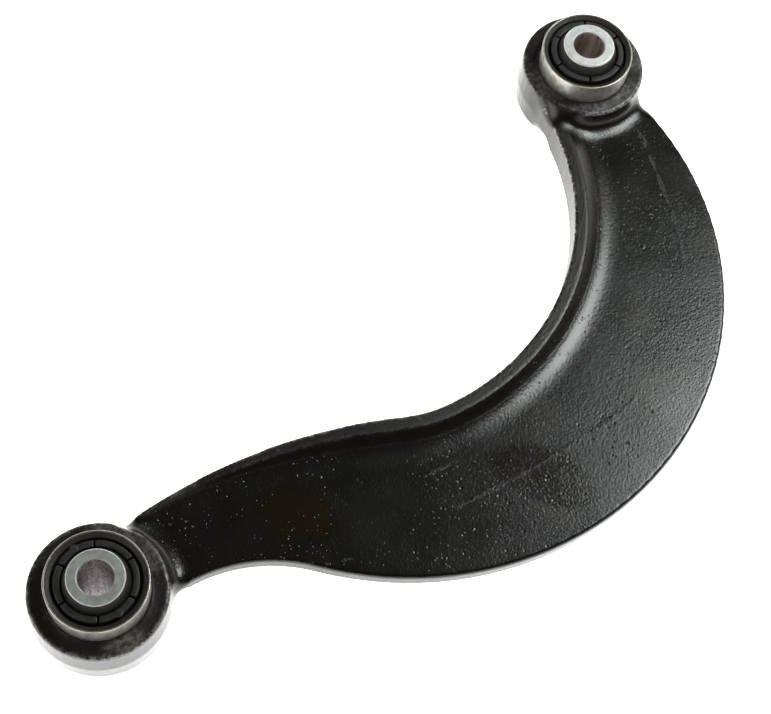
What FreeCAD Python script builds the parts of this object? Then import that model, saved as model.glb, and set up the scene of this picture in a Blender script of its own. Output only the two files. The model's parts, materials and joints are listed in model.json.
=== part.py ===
import FreeCAD, Part
import math
import os
import Sketcher
from FreeCAD import Placement, Rotation, Vector

# A forged suspension control arm: a crescent web with a raised rim along its
# inner edge and an eye at each end.  A rubber bush is pressed into each eye.
#
# Millimetres.  The origin is the centre of the inboard bush, at half its
# height.  +Z runs along the bush axes, +X runs to the outboard bush, and the
# crescent hangs towards -Y.  The plane Z = 0 halves every piece alike; only the
# two nubs on the inboard interleaf stand on its upper end alone.

DIMENSIONS = [
    # forging, in plan
    ("eye_spacing", 284.0),          # between the two bush axes
    ("outer_arc_x", 168.5),          # centre of the long outer edge
    ("outer_arc_y", 2.3),
    ("outer_arc_radius", 124.5),
    ("inner_arc_x", 170.4),          # centre of the main inner edge
    ("inner_arc_y", 41.05),
    ("inner_arc_radius", 96.75),
    ("shoulder_x", -16.5),           # centre of the inner edge by the inboard eye
    ("shoulder_y", -180.5),
    ("shoulder_radius", 195.5),
    ("inner_blend_radius", 52.0),    # joins the shoulder to the main inner edge
    ("neck_radius", 56.6),           # hollow of the outer edge by the inboard eye
    ("neck_reach", 16.6),            # nearest that hollow comes to the eye centre
    ("neck_join", 12.0),             # where the web ends, inside the inboard eye
    ("outer_join", -12.0),           # where the outer edge ends, inside the outboard eye
    ("elbow_radius", 8.0),           # corner between the outer edge and the outboard eye
    # forging, in height
    ("web_height", 7.0),
    ("web_inset", 1.5),              # the web starts this far inside the rim's wall
    ("eye_height", 21.0),
    ("eye_face_radius", 24.2),
    ("eye_parting_radius", 24.8),
    ("eye_fillet", 3.0),             # foot of each eye on the web
    ("eye_chamfer", 0.5),            # broken edge of each eye's face
    ("web_edge_fillet", 1.0),
    # rim along the inner edge
    ("rim_height", 14.0),
    ("rim_flat", 4.8),               # width of the rim's flat top
    ("rim_run", 12.8),               # width of the hollow slope beside it
    ("rim_sink", 0.4),               # how far the foot of its slope dips into the web
    ("rim_end_height", 9.6),         # the same rim where it fades at the inboard eye
    ("rim_end_flat", 1.6),
    ("rim_end_run", 6.0),
    # outer sleeve, a steel can pressed into the eye
    ("can_radius", 17.8),
    ("can_wall", 1.5),
    ("can_length", 39.9),
    ("can_mouth_radius", 17.1),      # inner edge of the flared mouth
    ("can_mouth_depth", 2.2),
    ("can_lip", 0.3),                # rounding of the mouth's outer edge
    # inner sleeve, a thick steel tube
    ("sleeve_radius", 10.0),
    ("sleeve_bore_radius", 6.1),
    ("sleeve_length", 47.3),
    ("sleeve_chamfer", 0.6),
    ("sleeve_bore_chamfer", 0.6),
    # interleaf ring, six bars between the two layers of rubber
    ("bar_inner_radius", 12.0),
    ("bar_outer_radius", 14.4),
    ("bar_length", 39.5),
    ("bar_slit", 0.65),
    ("bar_fillet", 0.35),
    ("inboard_turn", 45.0),          # direction of the first slit, degrees from +X
    ("outboard_turn", 40.0),
    ("nub_radius", 1.5),
    ("nub_place", 13.55),            # centre of a nub, from the bush axis
    ("nub_sink", 1.6),
    ("nub_rise", 0.25),
    # rubber
    ("rubber_gap", 0.3),             # running gap to the interleaf bars
    ("groove_radius", 15.5),         # outer wall of the groove round the bars
    ("groove_depth", 3.2),
    ("lining_top", 1.1),             # lining below the can's edge, at the groove
    ("collar_shoulder", 0.6),        # collar below the bars' ends, at its outside
    ("collar_top", 0.9),             # collar below the sleeve's end, at the sleeve
    ("collar_skin", 0.25),           # thickness of the collar's upper end
]

BAR_COUNT = 6
NUB_BARS = (0, 3)
FADE_SECTIONS = 7

doc = FreeCAD.newDocument("control_arm")
sheet = doc.addObject("Spreadsheet::Sheet", "dims")


def fill_sheet():
    """Puts each driving dimension in a cell of its own, under its name."""
    for row, (name, value) in enumerate(DIMENSIONS, start=1):
        sheet.set("A%d" % row, name)
        sheet.set("B%d" % row, str(value))
        sheet.setAlias("B%d" % row, name)
    doc.recompute()


def dim(name):
    return float(sheet.get(name))


def point(x, y, z=0.0):
    return Vector(x, y, z)


# ---- helpers for sketches and bodies ----------------------------------------

def new_body(label):
    body = doc.addObject("PartDesign::Body", "Body_" + label)
    body.Label = label
    return body


def plane_of(body, role):
    return [item for item in body.Origin.OriginFeatures if item.Role == role][0]


def new_sketch(body, name, plane_role):
    """A sketch flat on one of its own body's origin planes."""
    sketch = body.newObject("Sketcher::SketchObject", name)
    sketch.AttachmentSupport = (plane_of(body, plane_role), "")
    sketch.MapMode = "FlatFace"
    return sketch


def pin_point(sketch, geometry, end, x_formula, y_formula):
    """Ties one end of a sketch line or arc to two formulas of the sheet."""
    for kind, formula in (("DistanceX", x_formula), ("DistanceY", y_formula)):
        value = float(sketch.evalExpression(formula))
        index = sketch.addConstraint(Sketcher.Constraint(kind, -1, 1, geometry, end, value))
        sketch.setExpression("Constraints[%d]" % index, formula)


def polygon_sketch(body, name, plane_role, corners):
    """A closed polygon whose corners are pairs of formulas of the sheet."""
    sketch = new_sketch(body, name, plane_role)
    spots = []
    for x_formula, y_formula in corners:
        spots.append(point(float(sketch.evalExpression(x_formula)),
                           float(sketch.evalExpression(y_formula))))
    count = len(spots)
    for i in range(count):
        sketch.addGeometry(Part.LineSegment(spots[i], spots[(i + 1) % count]), False)
    for i in range(count):
        sketch.addConstraint(Sketcher.Constraint("Coincident", i, 2, (i + 1) % count, 1))
    for i, (x_formula, y_formula) in enumerate(corners):
        pin_point(sketch, i, 1, x_formula, y_formula)
    return sketch


def mirrored_corners(upper):
    """Adds the lower half of a profile whose upper half runs from inside to outside."""
    lower = [(radius, "-(%s)" % height) for radius, height in reversed(upper) if height != "0"]
    return list(upper) + lower


def turned_body(label, upper, place):
    """A piece of revolution about Z; its profile is given above Z = 0 only."""
    body = new_body(label)
    sketch = polygon_sketch(body, "Profile_" + label, "XZ_Plane", mirrored_corners(upper))
    turned = body.newObject("PartDesign::Revolution", "Turn_" + label)
    turned.Profile = sketch
    turned.ReferenceAxis = (sketch, ["V_Axis"])
    turned.Angle = 360.0
    sketch.Visibility = False
    body.Placement = place
    doc.recompute()
    return body


# ---- outline of the forging in plan -----------------------------------------

def eye_centre(side):
    return point(0, 0) if side == "inboard" else point(dim("eye_spacing"), 0)


def circle_meets(centre_a, radius_a, centre_b, radius_b, side):
    """One of the two points at given distances from two centres."""
    along = centre_b - centre_a
    gap = along.Length
    reach = (gap ** 2 + radius_a ** 2 - radius_b ** 2) / (2 * gap)
    rise = math.sqrt(radius_a ** 2 - reach ** 2)
    along.normalize()
    across = point(-along.y, along.x)
    return centre_a + along * reach + across * (side * rise)


def outline(inset):
    """Centres and meeting points of the arcs that bound the web or, without inset, the rim."""
    outer = point(dim("outer_arc_x"), dim("outer_arc_y"))
    inner = point(dim("inner_arc_x"), dim("inner_arc_y"))
    shoulder = point(dim("shoulder_x"), dim("shoulder_y"))
    outer_radius = dim("outer_arc_radius")
    inner_radius = dim("inner_arc_radius") + inset
    shoulder_radius = dim("shoulder_radius") - inset
    blend_radius = dim("inner_blend_radius") + inset
    neck_radius = dim("neck_radius")
    neck_join = dim("neck_join")

    neck = circle_meets(outer, outer_radius + neck_radius,
                        eye_centre("inboard"), neck_radius + dim("neck_reach"), 1)
    blend = circle_meets(shoulder, shoulder_radius + blend_radius,
                         inner, inner_radius - blend_radius, -1)

    def towards(centre, other, radius):
        step = other - centre
        step.normalize()
        return centre + step * radius

    neck_rise = math.sqrt(neck_radius ** 2 - (neck_join - neck.x) ** 2)
    shoulder_rise = math.sqrt(shoulder_radius ** 2 - (neck_join - shoulder.x) ** 2)
    outer_run = math.sqrt(outer_radius ** 2 - (dim("outer_join") - outer.y) ** 2)
    return {
        "outer": outer, "inner": inner, "shoulder": shoulder, "neck": neck, "blend": blend,
        "outer_end": point(outer.x + outer_run, dim("outer_join")),
        "outer_to_neck": towards(outer, neck, outer_radius),
        "neck_end": point(neck_join, neck.y + neck_rise),
        "shoulder_start": point(neck_join, shoulder.y + shoulder_rise),
        "shoulder_to_blend": towards(shoulder, blend, shoulder_radius),
        "blend_to_inner": towards(inner, blend, inner_radius),
        "inner_end": towards(inner, eye_centre("outboard"), inner_radius),
    }


def arc_between(centre, start, end):
    """The arc about a centre from start, anticlockwise, to end."""
    radius = (start - centre).Length
    first = math.atan2(start.y - centre.y, start.x - centre.x)
    last = math.atan2(end.y - centre.y, end.x - centre.x)
    circle = Part.Circle(centre, Vector(0, 0, 1), radius)
    return Part.ArcOfCircle(circle, first, last if last > first else last + 2 * math.pi)


def web_sketch(body, marks):
    """The web's plan, with its arcs tied to the sheet by centre and radius."""
    sketch = new_sketch(body, "Outline", "XY_Plane")

    def arc(centre, start, end):
        return sketch.addGeometry(arc_between(marks[centre], marks[start], marks[end]), False)

    def line(start, end):
        return sketch.addGeometry(Part.LineSegment(marks[start], marks[end]), False)

    outer = arc("outer", "outer_to_neck", "outer_end")
    neck = arc("neck", "outer_to_neck", "neck_end")
    inboard = line("neck_end", "shoulder_start")
    shoulder = arc("shoulder", "shoulder_to_blend", "shoulder_start")
    blend = arc("blend", "shoulder_to_blend", "blend_to_inner")
    inner = arc("inner", "blend_to_inner", "inner_end")
    outboard = line("inner_end", "outer_end")

    tie = sketch.addConstraint
    tie(Sketcher.Constraint("Tangent", outer, 1, neck, 1))
    tie(Sketcher.Constraint("Coincident", neck, 2, inboard, 1))
    tie(Sketcher.Constraint("Coincident", inboard, 2, shoulder, 2))
    tie(Sketcher.Constraint("Tangent", shoulder, 1, blend, 1))
    tie(Sketcher.Constraint("Tangent", blend, 2, inner, 1))
    tie(Sketcher.Constraint("Coincident", inner, 2, outboard, 1))
    tie(Sketcher.Constraint("Coincident", outboard, 2, outer, 2))
    tie(Sketcher.Constraint("Vertical", inboard))
    radii = ((outer, "dims.outer_arc_radius"), (neck, "dims.neck_radius"),
             (shoulder, "dims.shoulder_radius - dims.web_inset"),
             (blend, "dims.inner_blend_radius + dims.web_inset"),
             (inner, "dims.inner_arc_radius + dims.web_inset"))
    for geometry, formula in radii:
        index = tie(Sketcher.Constraint("Radius", geometry, float(sketch.evalExpression(formula))))
        sketch.setExpression("Constraints[%d]" % index, formula)
    pin_point(sketch, outer, 3, "dims.outer_arc_x", "dims.outer_arc_y")
    pin_point(sketch, inner, 3, "dims.inner_arc_x", "dims.inner_arc_y")
    pin_point(sketch, shoulder, 3, "dims.shoulder_x", "dims.shoulder_y")
    return sketch


def build_web(marks):
    body = new_body("web")
    sketch = web_sketch(body, marks)
    pad = body.newObject("PartDesign::Pad", "Web")
    pad.Profile = sketch
    pad.Midplane = True
    pad.setExpression("Length", "dims.web_height")
    sketch.Visibility = False
    doc.recompute()
    return body


# ---- rim --------------------------------------------------------------------

def rim_face(edge, inward, flat, run, half_height, half_web, sink):
    """A cut through the rim: a flat top, then a hollow slope down to the web."""
    rise = half_height - half_web + sink
    radius = (run ** 2 + rise ** 2) / (2 * rise)
    foot = flat + run
    middle = foot - radius * math.sin(0.5 * math.asin(run / radius))
    middle_height = half_web - sink + radius - math.sqrt(radius ** 2 - (foot - middle) ** 2)

    def spot(distance, height):
        return edge + inward * distance + Vector(0, 0, height)

    low = half_web - sink
    edges = [
        Part.makeLine(spot(0, -half_height), spot(0, half_height)),
        Part.makeLine(spot(0, half_height), spot(flat, half_height)),
        Part.Arc(spot(flat, half_height), spot(middle, middle_height), spot(foot, low)).toShape(),
        Part.makeLine(spot(foot, low), spot(foot, -low)),
        Part.Arc(spot(foot, -low), spot(middle, -middle_height), spot(flat, -half_height)).toShape(),
        Part.makeLine(spot(flat, -half_height), spot(0, -half_height)),
    ]
    return Part.Wire(edges)


def full_rim_section(edge, inward):
    return rim_face(edge, inward, dim("rim_flat"), dim("rim_run"),
                    dim("rim_height") / 2, dim("web_height") / 2, dim("rim_sink"))


def turned_rim(centre, start, end):
    """The rim's section carried round one arc of the inner edge."""
    outward = start - centre
    outward.normalize()
    first = math.atan2(start.y - centre.y, start.x - centre.x)
    last = math.atan2(end.y - centre.y, end.x - centre.x)
    section = Part.Face(full_rim_section(start, outward))
    return section.revolve(centre, Vector(0, 0, 1), math.degrees(last - first))


def faded_rim(centre, radius, start, end):
    """The rim along the shoulder, where it sinks away towards the inboard eye."""
    first = math.atan2(start.y - centre.y, start.x - centre.x)
    last = math.atan2(end.y - centre.y, end.x - centre.x)
    sections = []
    for i in range(FADE_SECTIONS):
        part = i / (FADE_SECTIONS - 1)
        ease = part * part * (3 - 2 * part)
        angle = first + (last - first) * part
        outward = point(math.cos(angle), math.sin(angle))
        edge = centre + outward * radius
        sections.append(rim_face(
            edge, outward * -1,
            dim("rim_flat") + (dim("rim_end_flat") - dim("rim_flat")) * ease,
            dim("rim_run") + (dim("rim_end_run") - dim("rim_run")) * ease,
            (dim("rim_height") + (dim("rim_end_height") - dim("rim_height")) * ease) / 2,
            dim("web_height") / 2, dim("rim_sink")))
    return Part.makeLoft(sections, True, False)


def build_rim(marks):
    """The rim is a loft and two turned lengths, so its shape is set directly."""
    pieces = [
        faded_rim(marks["shoulder"], dim("shoulder_radius"),
                  marks["shoulder_to_blend"], marks["shoulder_start"]),
        turned_rim(marks["blend"], marks["shoulder_to_blend"], marks["blend_to_inner"]),
        turned_rim(marks["inner"], marks["blend_to_inner"], marks["inner_end"]),
    ]
    rim = doc.addObject("Part::Feature", "Rim")
    rim.Shape = pieces[0].fuse(pieces[1:])
    return rim


# ---- eyes and the finished forging -------------------------------------------

def side_place(side):
    return Placement(eye_centre(side), Rotation())


def build_eye(side):
    """A boss with forging draft: widest at the parting plane."""
    top = "dims.eye_height / 2"
    upper = [
        ("0", top),
        ("dims.eye_face_radius - dims.eye_chamfer", top),
        ("dims.eye_face_radius", top + " - dims.eye_chamfer"),
        ("dims.eye_parting_radius", "0"),
    ]
    return turned_body("eye_" + side, upper, side_place(side))


def edge_points(edge):
    first, last = edge.ParameterRange
    return [edge.valueAt(first + (last - first) * step / 4) for step in range(5)]


def flat_distance(spot, centre):
    return math.hypot(spot.x - centre.x, spot.y - centre.y)


def foot_edges(shape, side):
    """Numbers of the edges where the web and the rim meet an eye's wall."""
    centre = eye_centre(side)
    low = dim("eye_face_radius") - 0.1
    high = dim("eye_parting_radius") + 0.1
    found = []
    for number, edge in enumerate(shape.Edges, start=1):
        spots = edge_points(edge)
        heights = [abs(spot.z) for spot in spots]
        on_wall = all(low < flat_distance(spot, centre) < high for spot in spots)
        if on_wall and 0.01 < max(heights) < dim("rim_height") / 2 + 0.1:
            found.append(number)
    return found


def is_elbow(edge):
    """True for the upright edges where the outer edge meets the outboard eye."""
    spots = edge_points(edge)
    upright = min(abs(spot.z) for spot in spots) < 0.01
    return upright and spots[0].x > eye_centre("outboard").x and spots[0].y < 0


def round_edges(shape, radii, height):
    """Numbers of the round edges of given radii that lie at one height, up and down."""
    found = []
    for number, edge in enumerate(shape.Edges, start=1):
        if isinstance(edge.Curve, Part.Circle) and abs(abs(edge.CenterOfMass.z) - height) < 0.01:
            if any(abs(edge.Curve.Radius - radius) < 0.01 for radius in radii):
                found.append(number)
    return found


def fillet(name, base, edges):
    feature = doc.addObject("Part::Fillet", name)
    feature.Base = base
    feature.Edges = [(number, radius, radius) for number, radius in edges]
    doc.recompute()
    return feature


def build_forging():
    web = build_web(outline(dim("web_inset")))
    rim = build_rim(outline(0.0))
    blank = doc.addObject("Part::MultiFuse", "Blank")
    blank.Shapes = [web, rim, build_eye("inboard"), build_eye("outboard")]
    blank.Refine = True
    doc.recompute()

    feet = []
    for side in ("inboard", "outboard"):
        for number in foot_edges(blank.Shape, side):
            elbow = is_elbow(blank.Shape.Edges[number - 1])
            feet.append((number, dim("elbow_radius") if elbow else dim("eye_fillet")))
    rounds = round_edges(blank.Shape, (dim("outer_arc_radius"), dim("neck_radius")),
                         dim("web_height") / 2)
    feet += [(number, dim("web_edge_fillet")) for number in rounds]
    rounded = fillet("Rounded", blank, feet)

    bores = []
    for side in ("inboard", "outboard"):
        bore = doc.addObject("Part::Cylinder", "Bore_" + side)
        bore.setExpression("Radius", "dims.can_radius")
        bore.setExpression("Height", "dims.eye_height * 2")
        bore.Placement = Placement(eye_centre(side) - Vector(0, 0, dim("eye_height")), Rotation())
        bores.append(bore)
    tools = doc.addObject("Part::MultiFuse", "Bores")
    tools.Shapes = bores
    forging = doc.addObject("Part::Cut", "Forging")
    forging.Base = rounded
    forging.Tool = tools
    forging.Label = "arm_forging"
    doc.recompute()
    return forging


# ---- bushes -----------------------------------------------------------------

def build_can(side):
    """Thin steel can whose mouth is flared and rounded."""
    end = "dims.can_length / 2"
    inside = "dims.can_radius - dims.can_wall"
    upper = [
        (inside, end + " - dims.can_mouth_depth"),
        ("dims.can_mouth_radius", end + " - dims.can_lip"),
        ("dims.can_mouth_radius + dims.can_lip / 2", end),
        ("dims.can_radius - dims.can_lip", end),
        ("dims.can_radius", end + " - dims.can_lip"),
    ]
    return turned_body(side + "_outer_sleeve", upper, side_place(side))


def build_lining(side):
    """Rubber between the can and the interleaf, with a groove round the bars' ends."""
    end = "dims.can_length / 2"
    inside = "dims.bar_outer_radius + dims.rubber_gap"
    upper = [
        (inside, end + " - dims.groove_depth"),
        ("dims.groove_radius - dims.rubber_gap", end + " - dims.groove_depth"),
        ("dims.groove_radius", end + " - dims.groove_depth + dims.rubber_gap"),
        ("dims.groove_radius", end + " - dims.lining_top"),
        ("dims.can_mouth_radius", end + " - dims.can_lip"),
        ("dims.can_radius - dims.can_wall", end + " - dims.can_mouth_depth"),
    ]
    return turned_body(side + "_outer_rubber", upper, side_place(side))


def build_collar(side):
    """Rubber bonded to the inner sleeve; each end tapers up the sleeve."""
    outside = "dims.bar_inner_radius - dims.rubber_gap"
    top = "dims.sleeve_length / 2 - dims.collar_top"
    shoulder = "dims.bar_length / 2 - dims.collar_shoulder"
    upper = [
        ("dims.sleeve_radius", top),
        ("dims.sleeve_radius + dims.collar_skin", top),
        (outside + " - dims.collar_skin", shoulder + " + dims.collar_skin"),
        (outside, shoulder),
    ]
    return turned_body(side + "_inner_rubber", upper, side_place(side))


def build_sleeve(side):
    """Thick steel tube that the bracket's bolt clamps end to end."""
    end = "dims.sleeve_length / 2"
    upper = [
        ("dims.sleeve_bore_radius", end + " - dims.sleeve_bore_chamfer"),
        ("dims.sleeve_bore_radius + dims.sleeve_bore_chamfer", end),
        ("dims.sleeve_radius - dims.sleeve_chamfer", end),
        ("dims.sleeve_radius", end + " - dims.sleeve_chamfer"),
    ]
    return turned_body(side + "_inner_sleeve", upper, side_place(side))


def bar_sketch(body, half_angle):
    """One bar's plan: two arcs about the bush axis, closed by two parallel slit walls."""
    half_slit = dim("bar_slit") / 2
    axis = point(0, 0)

    def corner(radius, side):
        angle = side * (half_angle - math.asin(half_slit / radius))
        return point(radius * math.cos(angle), radius * math.sin(angle))

    inner_right = corner(dim("bar_inner_radius"), -1)
    inner_left = corner(dim("bar_inner_radius"), 1)
    outer_right = corner(dim("bar_outer_radius"), -1)
    outer_left = corner(dim("bar_outer_radius"), 1)

    sketch = new_sketch(body, "Plan", "XY_Plane")
    out = sketch.addGeometry(arc_between(axis, outer_right, outer_left), False)
    left = sketch.addGeometry(Part.LineSegment(outer_left, inner_left), False)
    into = sketch.addGeometry(arc_between(axis, inner_right, inner_left), False)
    right = sketch.addGeometry(Part.LineSegment(inner_right, outer_right), False)
    tie = sketch.addConstraint
    tie(Sketcher.Constraint("Coincident", out, 2, left, 1))
    tie(Sketcher.Constraint("Coincident", left, 2, into, 2))
    tie(Sketcher.Constraint("Coincident", into, 1, right, 1))
    tie(Sketcher.Constraint("Coincident", right, 2, out, 1))
    tie(Sketcher.Constraint("Coincident", out, 3, -1, 1))
    tie(Sketcher.Constraint("Coincident", into, 3, -1, 1))
    for geometry, name in ((out, "bar_outer_radius"), (into, "bar_inner_radius")):
        index = tie(Sketcher.Constraint("Radius", geometry, dim(name)))
        sketch.setExpression("Constraints[%d]" % index, "dims." + name)
    return sketch


def build_bar(side, number):
    """One interleaf bar; two bars of the inboard ring carry a round nub."""
    step = 360.0 / BAR_COUNT
    body = new_body("%s_interleaf_%d" % (side, number + 1))
    sketch = bar_sketch(body, math.radians(step / 2))
    pad = body.newObject("PartDesign::Pad", "Bar")
    pad.Profile = sketch
    pad.Midplane = True
    pad.setExpression("Length", "dims.bar_length")
    sketch.Visibility = False
    doc.recompute()
    rounding = body.newObject("PartDesign::Fillet", "Ends")
    rounding.Base = (pad, end_edges(pad))
    rounding.setExpression("Radius", "dims.bar_fillet")
    doc.recompute()
    if side == "inboard" and number in NUB_BARS:
        nub = body.newObject("PartDesign::AdditiveCylinder", "Nub")
        nub.setExpression("Radius", "dims.nub_radius")
        nub.setExpression("Height", "dims.nub_sink + dims.nub_rise")
        nub.AttachmentOffset = Placement(
            Vector(dim("nub_place"), 0, dim("bar_length") / 2 - dim("nub_sink")), Rotation())
        nub.AttachmentSupport = (plane_of(body, "XY_Plane"), "")
        nub.MapMode = "FlatFace"
        doc.recompute()
    angle = dim(side + "_turn") + step * (number + 0.5)
    body.Placement = Placement(eye_centre(side), Rotation(Vector(0, 0, 1), angle))
    return body


def end_edges(pad):
    """Names of a bar's edges that lie in its two flat ends."""
    top = dim("bar_length") / 2
    return ["Edge%d" % number for number, edge in enumerate(pad.Shape.Edges, start=1)
            if abs(abs(edge.CenterOfMass.z) - top) < 0.01]


def build_bush(side):
    pieces = [build_can(side), build_lining(side), build_collar(side), build_sleeve(side)]
    pieces += [build_bar(side, number) for number in range(BAR_COUNT)]
    return pieces


# ---- checks and files -------------------------------------------------------

def check(pieces):
    """Stops before anything is written if any object failed or any shape is bad."""
    failed = [item.Name for item in doc.Objects
              if "Invalid" in item.State or "Error" in item.State]
    bad = [piece.Label for piece in pieces
           if piece.Shape.isNull() or not piece.Shape.isValid() or len(piece.Shape.Solids) != 1]
    if failed or bad:
        raise RuntimeError("failed objects %s, bad shapes %s" % (failed, bad))


def write(pieces):
    os.makedirs("parts", exist_ok=True)
    for piece in pieces:
        piece.Shape.exportStep("parts/%s.step" % piece.Label)
        print("%-24s %10.1f mm3" % (piece.Label, piece.Shape.Volume))


fill_sheet()
pieces = [build_forging()] + build_bush("inboard") + build_bush("outboard")
doc.recompute()
check(pieces)
write(pieces)
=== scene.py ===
import json
import math

import bmesh
import bpy
import numpy as np
from mathutils import Matrix, Vector, noise


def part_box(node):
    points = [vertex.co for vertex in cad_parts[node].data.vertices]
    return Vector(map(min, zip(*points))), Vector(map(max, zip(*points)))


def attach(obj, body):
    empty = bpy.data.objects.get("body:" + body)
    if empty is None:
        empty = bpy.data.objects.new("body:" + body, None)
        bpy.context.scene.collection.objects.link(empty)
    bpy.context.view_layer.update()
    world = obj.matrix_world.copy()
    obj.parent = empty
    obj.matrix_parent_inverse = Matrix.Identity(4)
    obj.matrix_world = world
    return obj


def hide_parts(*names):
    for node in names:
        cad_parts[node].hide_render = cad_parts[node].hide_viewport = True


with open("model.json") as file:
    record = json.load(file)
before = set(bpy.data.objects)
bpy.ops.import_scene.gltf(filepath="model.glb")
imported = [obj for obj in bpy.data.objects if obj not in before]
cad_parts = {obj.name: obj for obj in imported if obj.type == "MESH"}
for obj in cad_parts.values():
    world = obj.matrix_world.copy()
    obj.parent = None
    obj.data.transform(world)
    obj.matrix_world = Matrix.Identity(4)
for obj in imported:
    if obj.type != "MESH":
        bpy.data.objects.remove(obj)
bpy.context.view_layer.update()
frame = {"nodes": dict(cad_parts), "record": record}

MM = 0.001
SIDES = ("inboard", "outboard")
BAR_COUNT = 6


# ---- places and sizes, read from the frame ----------------------------------

def middle(node):
    low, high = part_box(node)
    return (Vector(low) + Vector(high)) / 2


def outer_radius(node):
    low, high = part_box(node)
    return (high[0] - low[0]) / 2


def half_height(node):
    low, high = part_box(node)
    return (high[2] - low[2]) / 2


def bore_radius():
    for mount in frame["record"]["mounts"]:
        if mount["name"] == "inboard_bore":
            return mount["dims"]["r_mm"] * MM


AXES = {side: middle(side + "_inner_sleeve") for side in SIDES}
EYE_TOP = half_height("arm_forging")
CAN_RADIUS = outer_radius("inboard_outer_sleeve")
CAN_END = half_height("inboard_outer_sleeve")
SLEEVE_RADIUS = outer_radius("inboard_inner_sleeve")
SLEEVE_END = half_height("inboard_inner_sleeve")
BAR_END = half_height("outboard_interleaf_1")
COLLAR_RADIUS = outer_radius("inboard_inner_rubber")
COLLAR_END = half_height("inboard_inner_rubber")
BORE_RADIUS = bore_radius()
FLOOR_Z = -SLEEVE_END

# ---- sizes of the finer shapes, in metres -----------------------------------

# forging
VOXEL = 0.68 * MM            # spacing of the forging's surface points
WEB_TOP = 3.5 * MM           # half the web's thickness
EYE_FACE_RADIUS = 24.2 * MM  # outer radius of the eye's flat end
CREASE_DEPTH = 0.008 * MM    # a point this far below its neighbours starts to be filled out
CREASE_FADE = 0.020 * MM     # and this much deeper it is filled out fully
HOLLOW_REACH = 5             # how many points to each side of a crease are filled out
HOLLOW_ROUNDS = 90           # how strongly
BORE_MARGIN = 3 * MM         # ring round the can that is neither filled out nor worn
BORE_CALM = 0.5 * MM         # narrower ring that gets no relief, so it stays off the can
BORE_CALM_FADE = 0.4 * MM
EYE_CALM = 0.6               # share of the relief that an eye face loses
COAT_ROUGHNESS = 0.22

# where the forging's skin is worn or rough; levels are heights over the middle plane
EDGE_HEIGHT = 0.02 * MM      # a point this far above its neighbours starts to look worn
EDGE_FADE = 0.05 * MM
WORN_LEVEL = WEB_TOP + 0.8 * MM
EYE_WEAR = 0.7
ARM_WEAR = 0.4
RIM_FACE_LEVEL = 4.6 * MM
WALL_LEVEL = 6.3 * MM        # side walls are rough up to this level
WALL_NEAREST_Y = -60 * MM    # the outer wall past this line is painted like the web
CREST_LEVEL = 6.1 * MM       # the rim's edge is worn from this level

# how squarely such a stretch faces up or down, from 0 to 1
EYE_FACING = 0.80
RIM_FACING = 0.93
WALL_FACING = 0.35
CREST_FACING = 0.97

# relief of the forged skin
SWELL_SIZE = 16 * MM
SWELL_HEIGHT = 0.035 * MM
POCK_SPACING = 4.4 * MM
POCK_RADIUS = 0.23           # as a share of the spacing
POCK_HEIGHT = 0.008 * MM
CROWDED_HEIGHT = 0.028 * MM  # added to it in a field of pocks
SCAR_SIZE = 2.6 * MM
SCAR_COVER = 0.1             # the larger, the less broken up the scars are
SCAR_HEIGHT = 0.05 * MM

# can
CAN_WALL = 1.5 * MM
CAN_MOUTH_RADIUS = 17.1 * MM
CAN_MOUTH_DEPTH = 2.2 * MM

# rubber and interleaf
GROOVE_RADIUS = 15.5 * MM
GROOVE_DEPTH = 3.2 * MM
LINING_RADIUS = 14.7 * MM    # inner wall of the outer rubber
LINING_TOP = 1.1 * MM
BAR_INNER = 12.0 * MM
BAR_OUTER = 14.4 * MM
BAR_SLIT = 0.65 * MM
FIRST_SLIT = {"inboard": 45.0, "outboard": 40.0}
NUB_BARS = {"inboard": (0, 3), "outboard": ()}
NUB_RADIUS = 1.5 * MM
NUB_PLACE = 13.55 * MM
NUB_RISE = 0.25 * MM

# camera, in the row frame
CAMERA_PLACE = Vector((-0.1153, -0.1552, 0.5763))
CAMERA_FORWARD = Vector((0.3897, 0.2142, -0.8957))
CAMERA_UP = Vector((0.6843, 0.5835, 0.4373))
CAMERA_LENS = 81.55          # for a sensor 36 mm wide

# studio light: radiance of each source, where 1.0 is plain white
TABLE_GLOW = 2.1
WALL_GLOW = 1.0              # the pale studio near the horizon
BACKDROP_GLOW = 1.8          # the lit sweep behind the part, towards BACKDROP_BEARING
BACKDROP_BEARING = 40.0      # degrees from +X
CEILING_GLOW = 0.03          # the dark ceiling above it
KEY_GLOW = 14.0
FILL_GLOW = 3.0
KEY_DIRECTION = (0.53, -0.20, 0.82)
KEY_DISTANCE = 1.2
KEY_WIDTH = 0.42
KEY_COLOUR = (0.93, 0.99, 0.98)
FILL_DIRECTION = (-0.75, 0.35, 0.60)
FILL_DISTANCE = 1.5
FILL_WIDTH = 0.70
FILL_COLOUR = (1.0, 0.98, 0.96)
LIGHT_TARGET = Vector((0.15, -0.04, 0.0))

# the studio round the part, by the height and bearing of a direction of length 1
WALL_HEIGHT = 0.20           # the walls keep their full glow up to here
CEILING_HEIGHT = 0.55        # and the ceiling is fully dark from here
CEILING_TINT = (1.0, 0.84, 0.58)
BACKDROP_EDGE = 0.35         # cosine of the angle from the backdrop's middle to its edge
BACKDROP_FULL = 0.85         # and to where its full glow starts


# ---- material nodes ---------------------------------------------------------

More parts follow.
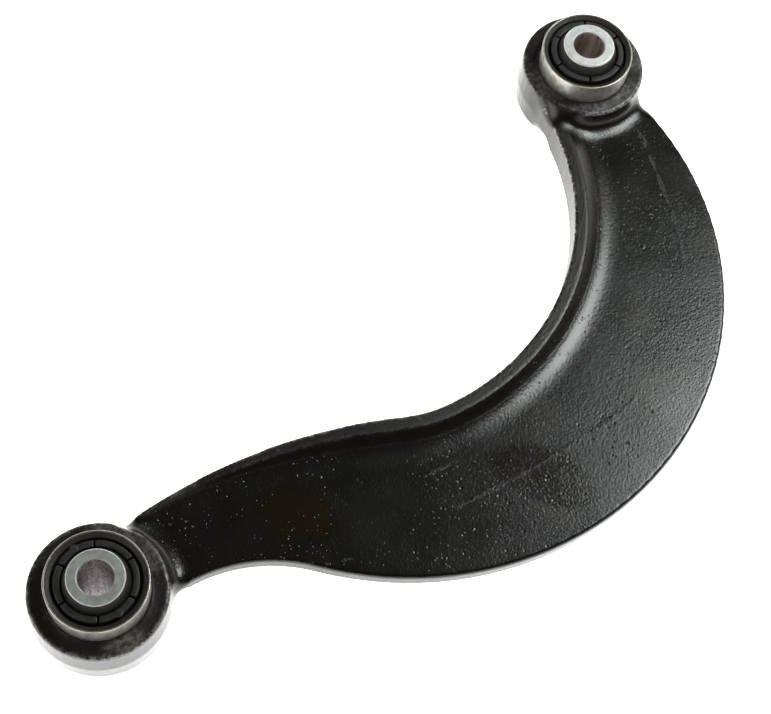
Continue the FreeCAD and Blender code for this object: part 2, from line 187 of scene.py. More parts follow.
class Nodes:
    """A node tree under construction: nodes are added by kind and joined by value."""

    def __init__(self, tree):
        self.tree = tree

    def add(self, kind, settings=None, **inputs):
        node = self.tree.nodes.new(kind)
        for key, value in (settings or {}).items():
            setattr(node, key, value)
        for key, value in inputs.items():
            self.feed(node.inputs[key.replace("_", " ")], value)
        return node

    def feed(self, socket, value):
        if isinstance(value, bpy.types.NodeSocket):
            self.tree.links.new(value, socket)
        else:
            socket.default_value = value

    def ramp(self, value, low, high, start=0.0, end=1.0):
        """Maps low..high to start..end, with soft ends and no overshoot."""
        node = self.add("ShaderNodeMapRange", {"interpolation_type": "SMOOTHSTEP"})
        for key, item in (("Value", value), ("From Min", low), ("From Max", high),
                          ("To Min", start), ("To Max", end)):
            self.feed(node.inputs[key], item)
        return node.outputs["Result"]

    def math(self, operation, first, second):
        node = self.add("ShaderNodeMath", {"operation": operation})
        self.feed(node.inputs[0], first)
        self.feed(node.inputs[1], second)
        return node.outputs[0]

    def blend(self, amount, first, second):
        """A colour between two colours, each an RGB triple or a socket."""
        node = self.add("ShaderNodeMix", {"data_type": "RGBA"})
        self.feed(node.inputs["Factor"], amount)
        for index, colour in ((6, first), (7, second)):
            full = (*colour, 1.0) if isinstance(colour, tuple) else colour
            self.feed(node.inputs[index], full)
        return node.outputs[2]


class Recipe(Nodes):
    """The node material of one surface."""

    def __init__(self, name):
        self.material = bpy.data.materials.new(name)
        self.material.use_nodes = True
        super().__init__(self.material.node_tree)
        self.shader = self.tree.nodes["Principled BSDF"]
        self.place = self.add("ShaderNodeTexCoord").outputs["Object"]

    def noise(self, size, detail=3.0, roughness=0.55, distortion=0.0, place=None):
        """Noise from 0 to 1 whose largest features are about size metres across."""
        node = self.add("ShaderNodeTexNoise", Vector=place or self.place, Scale=1 / size,
                        Detail=detail, Roughness=roughness, Distortion=distortion)
        return node.outputs["Fac"]

    def pits(self, spacing, width):
        """1 in small round pits, spacing metres apart, fading to 0 at a share of it."""
        node = self.add("ShaderNodeTexVoronoi", Vector=self.place, Scale=1 / spacing)
        return self.ramp(node.outputs["Distance"], 0.0, width, 1.0, 0.0)

    def attribute(self, name):
        node = self.add("ShaderNodeAttribute", {"attribute_name": name})
        return node.outputs["Fac"]

    def bump(self, height, depth, under=None):
        """Bump from a height of 0 to 1 that stands for depth metres, over an earlier bump."""
        node = self.add("ShaderNodeBump", Height=height, Distance=depth)
        if under is not None:
            self.feed(node.inputs["Normal"], under)
        return node.outputs["Normal"]

    def finish(self, colour, roughness, normal=None, metallic=0.0):
        self.feed(self.shader.inputs["Base Color"], colour)
        self.feed(self.shader.inputs["Roughness"], roughness)
        self.feed(self.shader.inputs["Metallic"], metallic)
        if normal is not None:
            self.feed(self.shader.inputs["Normal"], normal)
        return self.material


def bare_share(r, raw, chip):
    """How much steel shows through the paint: along worn edges and on rubbed faces."""
    patch = r.noise(9 * MM, 3.0)
    scraped = r.math("MULTIPLY", r.attribute("wear"), r.ramp(chip, 0.40, 0.60))
    scraped = r.math("MULTIPLY", scraped, r.ramp(patch, 0.34, 0.50, 0.12, 1.0))
    rubbed = r.math("MAXIMUM", r.attribute("rubbed"), r.ramp(patch, 0.60, 0.72, 0.0, 0.7))
    rubbed = r.math("MULTIPLY", raw, rubbed)
    rubbed = r.math("MULTIPLY", rubbed, r.ramp(chip, 0.38, 0.64, 0.04, 0.36))
    return r.math("MAXIMUM", scraped, rubbed)


def coat_relief(r, raw, speck, chip):
    """Grain, small pits, hollow pits in pock fields, scars on flow lines and rough faces."""
    field = r.attribute("field")
    grain = r.bump(r.noise(0.80 * MM, 2.0, 0.55), 0.062 * MM)
    busy = r.ramp(r.noise(22 * MM, 2.0), 0.42, 0.62, 0.15, 0.7)
    busy = r.math("MAXIMUM", busy, field)
    raised = r.bump(r.math("MULTIPLY", r.pits(1.9 * MM, 0.24), busy), 0.12 * MM, grain)
    pitted = r.bump(r.math("MULTIPLY", r.pits(3.1 * MM, 0.22), field), -0.25 * MM, raised)
    scars = r.math("MULTIPLY", r.ramp(r.attribute("flow"), 0.62, 1.0), r.ramp(chip, 0.40, 0.60))
    scarred = r.bump(scars, 0.13 * MM, pitted)
    return r.bump(r.math("MULTIPLY", raw, speck), 0.085 * MM, scarred)


def coat_material():
    """Black dip paint over forged steel, brown on rough faces and worn bright along edges."""
    r = Recipe("black_dip_paint")
    raw = r.attribute("raw_face")
    oil = r.attribute("oil")
    mottle = r.noise(14 * MM, 4.0)
    speck = r.noise(0.9 * MM, 4.0, 0.65)
    chip = r.noise(1.7 * MM, 5.0, 0.7)
    bare = bare_share(r, raw, chip)

    black = r.blend(mottle, (0.0048, 0.0043, 0.0033), (0.0085, 0.0076, 0.0058))
    brown = r.blend(speck, (0.0065, 0.0052, 0.0042), (0.020, 0.016, 0.0125))
    colour = r.blend(r.math("MULTIPLY", raw, 0.75), black, brown)
    dusty = r.math("MULTIPLY", r.attribute("grime"), r.ramp(chip, 0.3, 0.7, 0.25, 0.6))
    colour = r.blend(dusty, colour, (0.034, 0.026, 0.017))
    colour = r.blend(r.math("MULTIPLY", oil, 0.8), colour, (0.014, 0.0108, 0.0068))
    colour = r.blend(bare, colour, (0.42, 0.40, 0.38))

    roughness = r.ramp(mottle, 0.3, 0.7, COAT_ROUGHNESS - 0.02, COAT_ROUGHNESS + 0.02)
    scaly = r.math("MULTIPLY", raw, r.ramp(speck, 0.40, 0.62, 0.07, 0.12))
    roughness = r.math("ADD", roughness, scaly)
    roughness = r.math("ADD", roughness, r.math("MULTIPLY", bare, 0.15))
    roughness = r.math("SUBTRACT", roughness, r.math("MULTIPLY", oil, 0.07))
    metallic = r.math("MULTIPLY", bare, 0.85)
    return r.finish(colour, roughness, coat_relief(r, raw, speck, chip), metallic)


def steel_material(name, light, dark, rough, marks_depth, bore_colour=None, stains=0.46):
    """Turned and plated steel, with fine marks round its axis; a bore colour makes a stained bore."""
    r = Recipe(name)
    cloud = r.noise(2.2 * MM, 5.0, 0.65)
    fleck = r.noise(0.7 * MM, 4.0, 0.7)
    turned = r.attribute("turning")
    marks = r.add("ShaderNodeTexNoise", {"noise_dimensions": "1D"}, W=turned,
                  Scale=1 / (0.5 * MM), Detail=2.0, Roughness=0.6).outputs["Fac"]
    colour = r.blend(r.ramp(cloud, 0.35, 0.65), dark, light)
    colour = r.blend(r.ramp(fleck, 0.60, 0.75, 0.0, 0.3), colour, (0.30, 0.29, 0.27))
    roughness = r.ramp(cloud, 0.3, 0.7, rough - 0.04, rough + 0.04)
    metallic = 0.85
    if bore_colour:
        inside = r.attribute("bore")
        scrawl = r.noise(1.6 * MM, 5.0, 0.75, 1.5)
        stretched = r.add("ShaderNodeMapping", Vector=r.place, Scale=(1.0, 1.0, 0.08))
        streak = r.noise(1.1 * MM, 3.0, 0.6, place=stretched.outputs["Vector"])
        stained = r.blend(r.ramp(streak, 0.40, 0.62, 0.0, 0.6), bore_colour, (0.17, 0.15, 0.15))
        stained = r.blend(r.ramp(scrawl, stains, stains + 0.14), stained, (0.05, 0.042, 0.042))
        colour = r.blend(inside, colour, stained)
        roughness = r.math("MAXIMUM", roughness, r.math("MULTIPLY", inside, 0.52))
        metallic = r.math("SUBTRACT", 0.85, r.math("MULTIPLY", inside, 0.30))
    normal = r.bump(marks, marks_depth)
    normal = r.bump(fleck, 0.02 * MM, normal)
    normal = r.bump(cloud, 0.02 * MM, normal)
    return r.finish(colour, roughness, normal, metallic)


def rubber_material(name, dark, light):
    """Moulded rubber with a fine grain and specks of dust."""
    r = Recipe(name)
    cloud = r.noise(4 * MM, 4.0)
    fine = r.noise(0.5 * MM, 4.0, 0.7)
    colour = r.blend(cloud, dark, light)
    colour = r.blend(r.ramp(fine, 0.62, 0.8, 0.0, 0.4), colour, (0.035, 0.032, 0.027))
    roughness = r.ramp(cloud, 0.3, 0.7, 0.48, 0.62)
    return r.finish(colour, roughness, r.bump(fine, 0.04 * MM))


def interleaf_material():
    """Glass-filled nylon, matt, with a faint moulded grain."""
    r = Recipe("filled_nylon")
    cloud = r.noise(3 * MM, 4.0)
    fine = r.noise(0.35 * MM, 5.0, 0.75)
    colour = r.blend(cloud, (0.013, 0.0122, 0.0098), (0.023, 0.0212, 0.0170))
    colour = r.blend(r.ramp(fine, 0.60, 0.78, 0.0, 0.5), colour, (0.045, 0.042, 0.036))
    roughness = r.ramp(cloud, 0.3, 0.7, 0.42, 0.55)
    return r.finish(colour, roughness, r.bump(fine, 0.035 * MM))


def floor_material():
    """A plain table that glows brighter than white, with the faintest variation."""
    r = Recipe("pale_floor")
    cloud = r.noise(0.25, 3.0)
    colour = r.blend(cloud, (0.80, 0.80, 0.80), (0.84, 0.84, 0.84))
    r.shader.inputs["Emission Color"].default_value = (1.0, 1.0, 1.0, 1.0)
    r.shader.inputs["Emission Strength"].default_value = TABLE_GLOW
    return r.finish(colour, r.ramp(cloud, 0.3, 0.7, 0.55, 0.65))


# ---- mesh helpers -----------------------------------------------------------

def new_piece(name, mesh, body, slot, material, *nodes):
    """Links a mesh in the row frame, rides it on its body and hides what it stands for."""
    piece = bpy.data.objects.new(name, mesh)
    bpy.context.scene.collection.objects.link(piece)
    mesh.materials.clear()
    mesh.materials.append(material)
    for face in mesh.polygons:
        face.use_smooth = True
    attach(piece, body)
    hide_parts(*nodes)
    return piece


def set_attribute(mesh, name, values):
    layer = mesh.attributes.new(name, "FLOAT", "POINT")
    layer.data.foreach_set("value", np.asarray(values, np.float32))


def rounded_loop(corners, steps=5):
    """A closed outline with its corners rounded; a corner is (x, y, radius)."""
    result = []
    count = len(corners)
    for i, (x, y, radius) in enumerate(corners):
        corner = Vector((x, y))
        before = Vector(corners[i - 1][:2]) - corner
        after = Vector(corners[(i + 1) % count][:2]) - corner
        reach = min(radius, 0.45 * before.length, 0.45 * after.length)
        start = corner + before.normalized() * reach
        end = corner + after.normalized() * reach
        result.append(start + before.normalized() * reach * 0.15)
        for step in range(steps + 1):
            t = step / steps
            result.append(start * (1 - t) ** 2 + corner * 2 * t * (1 - t) + end * t * t)
        result.append(end + after.normalized() * reach * 0.15)
    return result


def turned_mesh(name, corners, centre, segments=180):
    """A ring turned about +Z from a closed section of (radius, height, rounding)."""
    section = rounded_loop(corners)
    count = len(section)
    radii = np.array([spot.x for spot in section])
    heights = np.array([spot.y for spot in section])
    angles = np.arange(segments) * 2 * math.pi / segments
    points = np.empty((segments, count, 3))
    points[:, :, 0] = centre.x + np.outer(np.cos(angles), radii)
    points[:, :, 1] = centre.y + np.outer(np.sin(angles), radii)
    points[:, :, 2] = heights
    faces = []
    for i in range(segments):
        here = i * count
        ahead = (i + 1) % segments * count
        for j in range(count):
            k = (j + 1) % count
            faces.append((here + j, ahead + j, ahead + k, here + k))
    mesh = bpy.data.meshes.new(name)
    mesh.from_pydata(points.reshape(-1, 3).tolist(), [], faces)
    lengths = np.cumsum([0.0] + [(section[j + 1] - section[j]).length for j in range(count - 1)])
    set_attribute(mesh, "turning", np.tile(lengths, segments))
    make_outward(mesh)
    return mesh


def make_outward(mesh):
    shape = bmesh.new()
    shape.from_mesh(mesh)
    bmesh.ops.recalc_face_normals(shape, faces=shape.faces)
    shape.to_mesh(mesh)
    shape.free()


def both_ends(upper):
    """A closed section from its upper half, listed from the inside out."""
    lower = [(x, -y, rounding) for x, y, rounding in reversed(upper)]
    return upper + lower


class Net:
    """The points of a mesh and what joins them, for smoothing and spreading values."""

    def __init__(self, mesh):
        count = len(mesh.vertices)
        flat = np.empty(count * 3)
        mesh.vertices.foreach_get("co", flat)
        self.points = flat.reshape(-1, 3)
        pairs = np.empty(len(mesh.edges) * 2, np.int32)
        mesh.edges.foreach_get("vertices", pairs)
        self.start, self.end = pairs.reshape(-1, 2).T
        self.counts = np.bincount(pairs, minlength=count).astype(float)

    def mean(self, values):
        """The mean of each point's neighbours."""
        if values.ndim == 2:
            return np.stack([self.mean(column) for column in values.T], axis=1)
        count = len(self.counts)
        total = np.bincount(self.start, values[self.end], count)
        total += np.bincount(self.end, values[self.start], count)
        return total / self.counts

    def blurred(self, values, rounds):
        for _ in range(rounds):
            values = 0.5 * (values + self.mean(values))
        return values

    def widened(self, values, rounds):
        """Each point takes the largest value found within some edges of it."""
        for _ in range(rounds):
            wider = values.copy()
            np.maximum.at(wider, self.start, values[self.end])
            np.maximum.at(wider, self.end, values[self.start])
            values = wider
        return values

    def even_out(self, rounds):
        """Smooths away the remesh's steps without shrinking the shape."""
        for _ in range(rounds):
            for factor in (0.50, -0.52):
                self.points = self.points + factor * (self.mean(self.points) - self.points)

    def relax(self, share, rounds):
        """Smooths fully where share is 1 and not at all where it is 0."""
        for _ in range(rounds):
            self.points = self.points + share[:, None] * 0.6 * (self.mean(self.points) - self.points)

    def bulge(self, normals):
        """Height of each point over its neighbours: positive on edges, negative in hollows."""
        return ((self.points - self.mean(self.points)) * normals).sum(1)


# ---- forging ----------------------------------------------------------------

# Marks in the forged skin, all in mm over the web, as the part lies in plan.

# open flow lines, as points (x, y)
FLOW_LINES = (
    ((104, -74), (117, -79.5), (132, -85.5), (146, -90)),
    ((146, -90), (162, -95), (183, -99)),
    ((279, -31), (267, -48.5), (256, -63), (247, -74), (240, -80)),
    ((104, -57), (115, -62)),
    ((58, -52), (66, -58)),
)
FLOW_WIDTH = 0.95 * MM
FLOW_WANDER = 1.2 * MM       # how far the line strays from those points
FLOW_WANDER_SIZE = 5 * MM    # and over what length

# stretches where the skin is crowded with pocks: centre and radius
POCK_FIELDS = (
    ((232, -57), 8),
    ((254, -65), 9),
    ((240, -78), 9),
    ((222, -90), 9),
    ((200, -95), 10),
    ((178, -99), 10),
    ((158, -101), 11),
    ((136, -102), 9),
    ((112, -92), 12),
    ((92, -76), 10),
    ((110, -61), 9),
    ((84, -25), 8),
    ((60, -3), 8),
    ((40, -4), 10),
    ((52, -38), 8),
)

# thin films of oil: centre, half lengths and turn in degrees of an oval
OIL_FILMS = (
    ((134, -90), (11, 20), 14.0),
    ((66, -34), (9, 13), 25.0),
)

# brown dust: centre and radius
GRIME_SPOTS = (
    ((190, -107), 13),
    ((210, -80), 6),
    ((255, -84), 6),
    ((131, -98), 10),
    ((150, -72), 8),
)

# where the eye faces have been rubbed against something: centre and radius
RUBBED_SPOTS = (
    ((18, 9), 8),
    ((21, -5), 6),
    ((-8, -20), 6),
    ((264, 9), 8),
    ((268, -17), 8),
    ((284, -22), 7),
    ((301, -14), 6),
)

# how soft the outline of each kind is, as a share of its radius
FIELD_FADE = 0.9
OIL_FADE = 0.22
GRIME_FADE = 0.7
RUBBED_FADE = 0.8
OUTLINE_SIZE = 14 * MM       # the outlines wander over about this length
OUTLINE_WANDER = 0.16        # by this share of the radius


def uneven(points, size):
    """Smooth noise at each point, about -1 to 1, that changes over about size metres."""
    return np.array([noise.noise(Vector(spot) / size) for spot in points])


def oval_share(points, wander, centre, halves, turn, fade):
    """1 inside an oval on the web, fading to 0 at its uneven outline."""
    angle = math.radians(turn)
    across = points[:, :2] - np.array(centre) * MM
    along = across @ np.array([math.cos(angle), math.sin(angle)]) / (halves[0] * MM)
    beside = across @ np.array([-math.sin(angle), math.cos(angle)]) / (halves[1] * MM)
    reach = np.hypot(along, beside)
    return np.clip((1 + fade / 2 - reach - wander) / fade, 0, 1)


def largest_share(points, wander, ovals, fade):
    """The largest share that any of the ovals gives each point."""
    share = np.zeros(len(points))
    for centre, halves, turn in ovals:
        share = np.maximum(share, oval_share(points, wander, centre, halves, turn, fade))
    return share


def as_ovals(spots):
    return [(centre, (radius, radius), 0.0) for centre, radius in spots]


def run_distance(points, run):
    """How far each point lies, in plan, from a run of straight lengths."""
    nearest = np.full(len(points), 1.0)
    for first, second in zip(run[:-1], run[1:]):
        start = np.array(first) * MM
        span = np.array(second) * MM - start
        along = np.clip((points[:, :2] - start) @ span / (span @ span), 0, 1)
        foot = start + along[:, None] * span
        nearest = np.minimum(nearest, np.hypot(*(points[:, :2] - foot).T))
    return nearest


def flow_share(points):
    """1 along the middle of a flow line, fading to 0 within its width."""
    share = np.zeros(len(points))
    wander = uneven(points, FLOW_WANDER_SIZE) * FLOW_WANDER
    for run in FLOW_LINES:
        aside = run_distance(points, run) + wander
        share = np.maximum(share, np.exp(-(aside / FLOW_WIDTH) ** 2))
    return share


def mark_shares(points, on_web):
    """How far each point is oily, dusty, on a flow line, crowded with pocks or rubbed."""
    wander = uneven(points, OUTLINE_SIZE) * OUTLINE_WANDER
    return {
        "oil": largest_share(points, wander, OIL_FILMS, OIL_FADE),
        "grime": largest_share(points, wander, as_ovals(GRIME_SPOTS), GRIME_FADE),
        "flow": flow_share(points) * on_web,
        "field": largest_share(points, wander, as_ovals(POCK_FIELDS), FIELD_FADE) * on_web,
        "rubbed": largest_share(points, wander, as_ovals(RUBBED_SPOTS), RUBBED_FADE),
    }


def relief(points, flow, field):
    """Height of the forged skin over the smooth shape: swells, pocks and flow lines."""
    heights = np.empty(len(points))
    for i, spot in enumerate(points):
        place = Vector(spot)
        swell = noise.noise(place / SWELL_SIZE) * SWELL_HEIGHT
        nearest = noise.voronoi(place / POCK_SPACING)[0][0]
        pock = max(0.0, 1 - nearest / POCK_RADIUS) * (POCK_HEIGHT + CROWDED_HEIGHT * field[i])
        scar = flow[i] * max(0.0, SCAR_COVER + noise.noise(place / SCAR_SIZE)) * SCAR_HEIGHT
        heights[i] = swell + pock + scar
    return heights


def forging_mesh():
    """The forging's CAD shape as one skin of evenly spaced points."""
    rough = frame["nodes"]["arm_forging"].data.copy()
    shape = bmesh.new()
    shape.from_mesh(rough)
    bmesh.ops.remove_doubles(shape, verts=shape.verts, dist=0.002 * MM)
    shape.to_mesh(rough)
    shape.free()
    holder = bpy.data.objects.new("remesh_source", rough)
    bpy.context.scene.collection.objects.link(holder)
    remesh = holder.modifiers.new("Even", "REMESH")
    remesh.mode = "VOXEL"
    remesh.voxel_size = VOXEL
    evaluated = holder.evaluated_get(bpy.context.evaluated_depsgraph_get())
    mesh = bpy.data.meshes.new_from_object(evaluated)
    bpy.data.objects.remove(holder)
    return mesh


def from_axis(points, side):
    return np.hypot(points[:, 0] - AXES[side].x, points[:, 1] - AXES[side].y)


def set_points(mesh, points):
    """Moves a mesh's points and gives their new normals."""
    mesh.vertices.foreach_set("co", points.ravel())
    mesh.update()
    normals = np.empty(len(points) * 3)
    mesh.vertex_normals.foreach_get("vector", normals)
    return normals.reshape(-1, 3)


def rise(values, start, width):
    """0 up to start, then evenly up to 1 over width."""
    return np.clip((values - start) / width, 0, 1)


def fill_creases(mesh, net, reach):
    """Fills out the creases at the foot of the rim and the eyes into soft hollows."""
    normals = set_points(mesh, net.points)
    hollow = rise(-net.bulge(normals), CREASE_DEPTH, CREASE_FADE)
    hollow = net.blurred(net.widened(hollow, HOLLOW_REACH), 4)
    net.relax(hollow * rise(reach, CAN_RADIUS + BORE_MARGIN, BORE_MARGIN), HOLLOW_ROUNDS)


def rough_faces(points, normals, on_eye):
    """Three masks: the eyes' ends, the rim's flat top, and the rough side walls."""
    level = np.abs(points[:, 2])
    facing = np.abs(normals[:, 2])
    eye_face = on_eye & (level > EYE_TOP - MM) & (facing > EYE_FACING)
    rim_face = ~on_eye & (level > RIM_FACE_LEVEL) & (facing > RIM_FACING)
    wall = ~on_eye & (level < WALL_LEVEL) & (facing < WALL_FACING)
    return eye_face, rim_face, wall & (points[:, 1] > WALL_NEAREST_Y)


def edge_wear(net, normals, reach, on_eye, wall):
    """How worn each point is: along outer edges, and most along the rim's top edge."""
    level = np.abs(net.points[:, 2])
    edge = net.blurred(rise(net.bulge(normals), EDGE_HEIGHT, EDGE_FADE), 1)
    edge = edge * (level > WORN_LEVEL) * (reach > CAN_RADIUS + BORE_MARGIN)
    crest = net.widened(wall.astype(float), 2) * (level > CREST_LEVEL)
    crest = crest * (np.abs(normals[:, 2]) < CREST_FACING)
    return np.maximum(np.where(on_eye, EYE_WEAR, ARM_WEAR) * edge, net.blurred(crest, 1))


def build_forging():
    mesh = forging_mesh()
    net = Net(mesh)
    net.even_out(6)
    reach = np.minimum(from_axis(net.points, "inboard"), from_axis(net.points, "outboard"))
    fill_creases(mesh, net, reach)

    points = net.points
    normals = set_points(mesh, points)
    on_eye = reach < EYE_FACE_RADIUS + MM
    on_web = (reach > EYE_FACE_RADIUS) & (points[:, 2] > 0) & (points[:, 2] < WEB_TOP + MM)
    eye_face, rim_face, wall = rough_faces(points, normals, on_eye)
    shares = {
        "wear": edge_wear(net, normals, reach, on_eye, wall),
        "raw_face": net.blurred((eye_face | rim_face | wall).astype(float), 2),
        **mark_shares(points, on_web),
    }

    bore = rise(CAN_RADIUS + BORE_CALM - reach, 0, BORE_CALM_FADE)
    calm = np.maximum(bore, EYE_CALM * eye_face)
    heights = relief(points, shares["flow"], shares["field"]) * (1 - calm)
    set_points(mesh, points + normals * heights[:, None])
    for name, values in shares.items():
        set_attribute(mesh, name, values)
    return new_piece("forged_arm", mesh, "arm", "forging", coat_material(), "arm_forging")


# ---- bushes -----------------------------------------------------------------

def build_can(side, material):
    inside = CAN_RADIUS - CAN_WALL
    section = both_ends([
        (inside, CAN_END - CAN_MOUTH_DEPTH, 0.6 * MM),
        (CAN_MOUTH_RADIUS, CAN_END - 0.35 * MM, 0.2 * MM),
        (CAN_MOUTH_RADIUS + 0.1 * MM, CAN_END, 0.25 * MM),
        (CAN_RADIUS, CAN_END, 0.6 * MM),
    ])
    mesh = turned_mesh(side + "_can", section, AXES[side])
    new_piece(side + "_can", mesh, "arm", "outer_sleeve", material, side + "_outer_sleeve")


def build_lining(side, material):
    section = both_ends([
        (LINING_RADIUS, CAN_END - GROOVE_DEPTH, 0.1 * MM),
        (GROOVE_RADIUS - 0.3 * MM, CAN_END - GROOVE_DEPTH, 0.3 * MM),
        (GROOVE_RADIUS, CAN_END - LINING_TOP, 0.3 * MM),
        (CAN_MOUTH_RADIUS, CAN_END - 0.35 * MM, 0.1 * MM),
        (CAN_RADIUS - CAN_WALL, CAN_END - CAN_MOUTH_DEPTH, 0.2 * MM),
    ])
    mesh = turned_mesh(side + "_lining", section, AXES[side])
    new_piece(side + "_lining", mesh, "arm", "rubber", material, side + "_outer_rubber")


def build_collar(side, material):
    section = both_ends([
        (SLEEVE_RADIUS, COLLAR_END, 0.1 * MM),
        (SLEEVE_RADIUS + 0.25 * MM, COLLAR_END, 0.2 * MM),
        (COLLAR_RADIUS - 0.25 * MM, BAR_END - 0.35 * MM, 0.5 * MM),
        (COLLAR_RADIUS, BAR_END - 0.6 * MM, 0.3 * MM),
    ])
    mesh = turned_mesh(side + "_collar", section, AXES[side])
    new_piece(side + "_collar", mesh, side + "_sleeve", "rubber", material,
              side + "_inner_rubber")


def build_sleeve(side, material):
    section = both_ends([
        (BORE_RADIUS, SLEEVE_END - 0.4 * MM, 0.15 * MM),
        (BORE_RADIUS + 0.4 * MM, SLEEVE_END, 0.15 * MM),
        (SLEEVE_RADIUS - 0.35 * MM, SLEEVE_END, 0.2 * MM),
        (SLEEVE_RADIUS, SLEEVE_END - 0.35 * MM, 0.2 * MM),
    ])
    mesh = turned_mesh(side + "_sleeve", section, AXES[side])
    places = np.array([vertex.co for vertex in mesh.vertices])
    set_attribute(mesh, "bore", from_axis(places, side) < BORE_RADIUS + 0.05 * MM)
    new_piece(side + "_sleeve", mesh, side + "_sleeve", "inner_sleeve", material,
              side + "_inner_sleeve")


def bar_plan(arc_steps=16):
    """A bar's plan about +X: two arcs closed by walls parallel to the slits."""
    half = math.pi / BAR_COUNT
    plan = []
    for radius, direction in ((BAR_OUTER, 1), (BAR_INNER, -1)):
        reach = half - math.asin(BAR_SLIT / 2 / radius)
        for step in range(arc_steps + 1):
            angle = direction * reach * (2 * step / arc_steps - 1)
            plan.append(Vector((radius * math.cos(angle), radius * math.sin(angle))))
    return plan


def build_bar(side, number, material):
    """One bar of the interleaf, with rounded edges and sometimes a round nub."""
    shape = bmesh.new()
    lower = [shape.verts.new((spot.x, spot.y, -BAR_END)) for spot in bar_plan()]
    base = shape.faces.new(lower)
    lifted = bmesh.ops.extrude_face_region(shape, geom=[base])
    top = [item for item in lifted["geom"] if isinstance(item, bmesh.types.BMVert)]
    bmesh.ops.translate(shape, verts=top, vec=(0, 0, 2 * BAR_END))
    bmesh.ops.recalc_face_normals(shape, faces=shape.faces)
    sharp = [edge for edge in shape.edges
             if edge.is_manifold and edge.calc_face_angle(0.0) > math.radians(30)]
    bmesh.ops.bevel(shape, geom=sharp, offset=0.42 * MM, segments=4, profile=0.5,
                    affect="EDGES", clamp_overlap=True)
    if number in NUB_BARS[side]:
        add_nub(shape)
    turn = math.radians(FIRST_SLIT[side] + 360 / BAR_COUNT * (number + 0.5))
    place = Matrix.Translation(AXES[side]) @ Matrix.Rotation(turn, 4, "Z")
    bmesh.ops.transform(shape, matrix=place, verts=shape.verts)
    name = "%s_interleaf_bar_%d" % (side, number + 1)
    mesh = bpy.data.meshes.new(name)
    shape.to_mesh(mesh)
    shape.free()
    new_piece(name, mesh, side + "_interleaf", "interleaf", material,
              "%s_interleaf_%d" % (side, number + 1))


def add_nub(shape, segments=28):
    """A low round button on the bar's upper end."""
    rings = []
    for radius, height in ((NUB_RADIUS, -0.8 * MM), (NUB_RADIUS, NUB_RISE - 0.15 * MM),
                           (NUB_RADIUS - 0.15 * MM, NUB_RISE), (0.5 * NUB_RADIUS, NUB_RISE)):
        ring = []
        for step in range(segments):
            angle = 2 * math.pi * step / segments
            ring.append(shape.verts.new((NUB_PLACE + radius * math.cos(angle),
                                         radius * math.sin(angle), BAR_END + height)))
        rings.append(ring)
    for low, high in zip(rings[:-1], rings[1:]):
        for i in range(segments):
            j = (i + 1) % segments
            shape.faces.new((low[i], low[j], high[j], high[i]))
    shape.faces.new(rings[-1])
    shape.faces.new(list(reversed(rings[0])))


def build_bushes():
    can = steel_material("plated_can", (0.58, 0.56, 0.52), (0.42, 0.405, 0.37), 0.34, 0.01 * MM)
    plated = {
        "inboard": steel_material("zinc_sleeve", (0.50, 0.53, 0.50), (0.40, 0.42, 0.39), 0.50,
                                  0.05 * MM, (0.56, 0.49, 0.51)),
        # painted highlight: the outboard sleeve is the same plated steel as the inboard one, painted
        # lighter to stand in for the brighter studio that it reflects
        "outboard": steel_material("zinc_sleeve_painted_lit", (0.80, 0.81, 0.80), (0.66, 0.67, 0.66), 0.48,
                                   0.03 * MM, (0.52, 0.45, 0.41), 0.56),
    }
    black = rubber_material("black_rubber", (0.0045, 0.0044, 0.004), (0.010, 0.0096, 0.0085))
    olive = rubber_material("olive_rubber", (0.017, 0.0145, 0.0085), (0.030, 0.026, 0.016))
    nylon = interleaf_material()
    for side in SIDES:
        build_can(side, can)
        build_lining(side, olive)
        build_collar(side, black)
        build_sleeve(side, plated[side])
        for number in range(BAR_COUNT):
            build_bar(side, number, nylon)


# ---- floor, light and camera ------------------------------------------------

def build_floor(half=2.5):
    mesh = bpy.data.meshes.new("floor")
    corners = [(-half, -half), (half, -half), (half, half), (-half, half)]
    mesh.from_pydata([(x, y, FLOOR_Z) for x, y in corners], [], [(0, 1, 2, 3)])
    mesh.materials.append(floor_material())
    floor = bpy.data.objects.new("floor", mesh)
    bpy.context.scene.collection.objects.link(floor)


def add_softbox(name, direction, distance, width, radiance, colour):
    """A square area light that faces the part's middle."""
    toward = Vector(direction).normalized()
    data = bpy.data.lights.new(name, "AREA")
    data.shape = "SQUARE"
    data.size = width
    data.energy = radiance * math.pi * width * width
    data.color = colour
    lamp = bpy.data.objects.new(name, data)
    lamp.location = LIGHT_TARGET + toward * distance
    lamp.rotation_euler = toward.to_track_quat("Z", "Y").to_euler()
    bpy.context.scene.collection.objects.link(lamp)


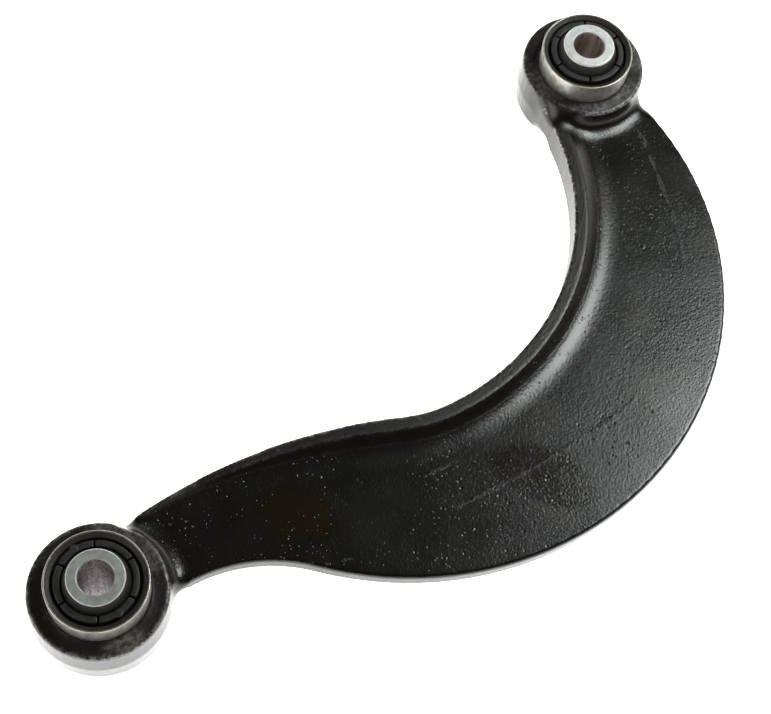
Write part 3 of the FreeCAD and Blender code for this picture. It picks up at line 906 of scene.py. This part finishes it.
def light_scene():
    add_softbox("key_softbox", KEY_DIRECTION, KEY_DISTANCE, KEY_WIDTH, KEY_GLOW, KEY_COLOUR)
    add_softbox("fill_softbox", FILL_DIRECTION, FILL_DISTANCE, FILL_WIDTH, FILL_GLOW, FILL_COLOUR)
    bpy.context.scene.world = studio_world()
    bpy.context.scene.view_settings.view_transform = "Standard"


def studio_world():
    """Pale studio walls that darken towards the ceiling, brightest behind the part."""
    world = bpy.data.worlds.new("studio")
    world.use_nodes = True
    sky = Nodes(world.node_tree)
    background = sky.tree.nodes["Background"]
    direction = sky.add("ShaderNodeTexCoord").outputs["Generated"]
    height = sky.add("ShaderNodeSeparateXYZ", Vector=direction).outputs["Z"]

    bearing = math.radians(BACKDROP_BEARING)
    ahead = sky.add("ShaderNodeVectorMath", {"operation": "DOT_PRODUCT"})
    sky.feed(ahead.inputs[0], direction)
    sky.feed(ahead.inputs[1], (math.cos(bearing), math.sin(bearing), 0.0))
    around = sky.ramp(ahead.outputs["Value"], BACKDROP_EDGE, BACKDROP_FULL,
                      WALL_GLOW, BACKDROP_GLOW)
    glow = sky.ramp(height, CEILING_HEIGHT, WALL_HEIGHT, CEILING_GLOW, around)
    lowness = sky.ramp(height, CEILING_HEIGHT, WALL_HEIGHT)
    sky.feed(background.inputs["Strength"], glow)
    sky.feed(background.inputs["Color"], sky.blend(lowness, CEILING_TINT, (1.0, 1.0, 1.0)))
    return world


def place_camera():
    data = bpy.data.cameras.new("camera")
    data.lens = CAMERA_LENS
    data.sensor_width = 36.0
    data.sensor_fit = "HORIZONTAL"
    data.clip_start = 0.01
    data.clip_end = 20.0
    back = -CAMERA_FORWARD.normalized()
    right = CAMERA_UP.cross(back).normalized()
    up = back.cross(right)
    turn = Matrix((right, up, back)).transposed().to_4x4()
    camera = bpy.data.objects.new("camera", data)
    camera.matrix_world = Matrix.Translation(CAMERA_PLACE) @ turn
    bpy.context.scene.collection.objects.link(camera)
    bpy.context.scene.camera = camera


place_camera()
build_forging()
build_bushes()
build_floor()
light_scene()
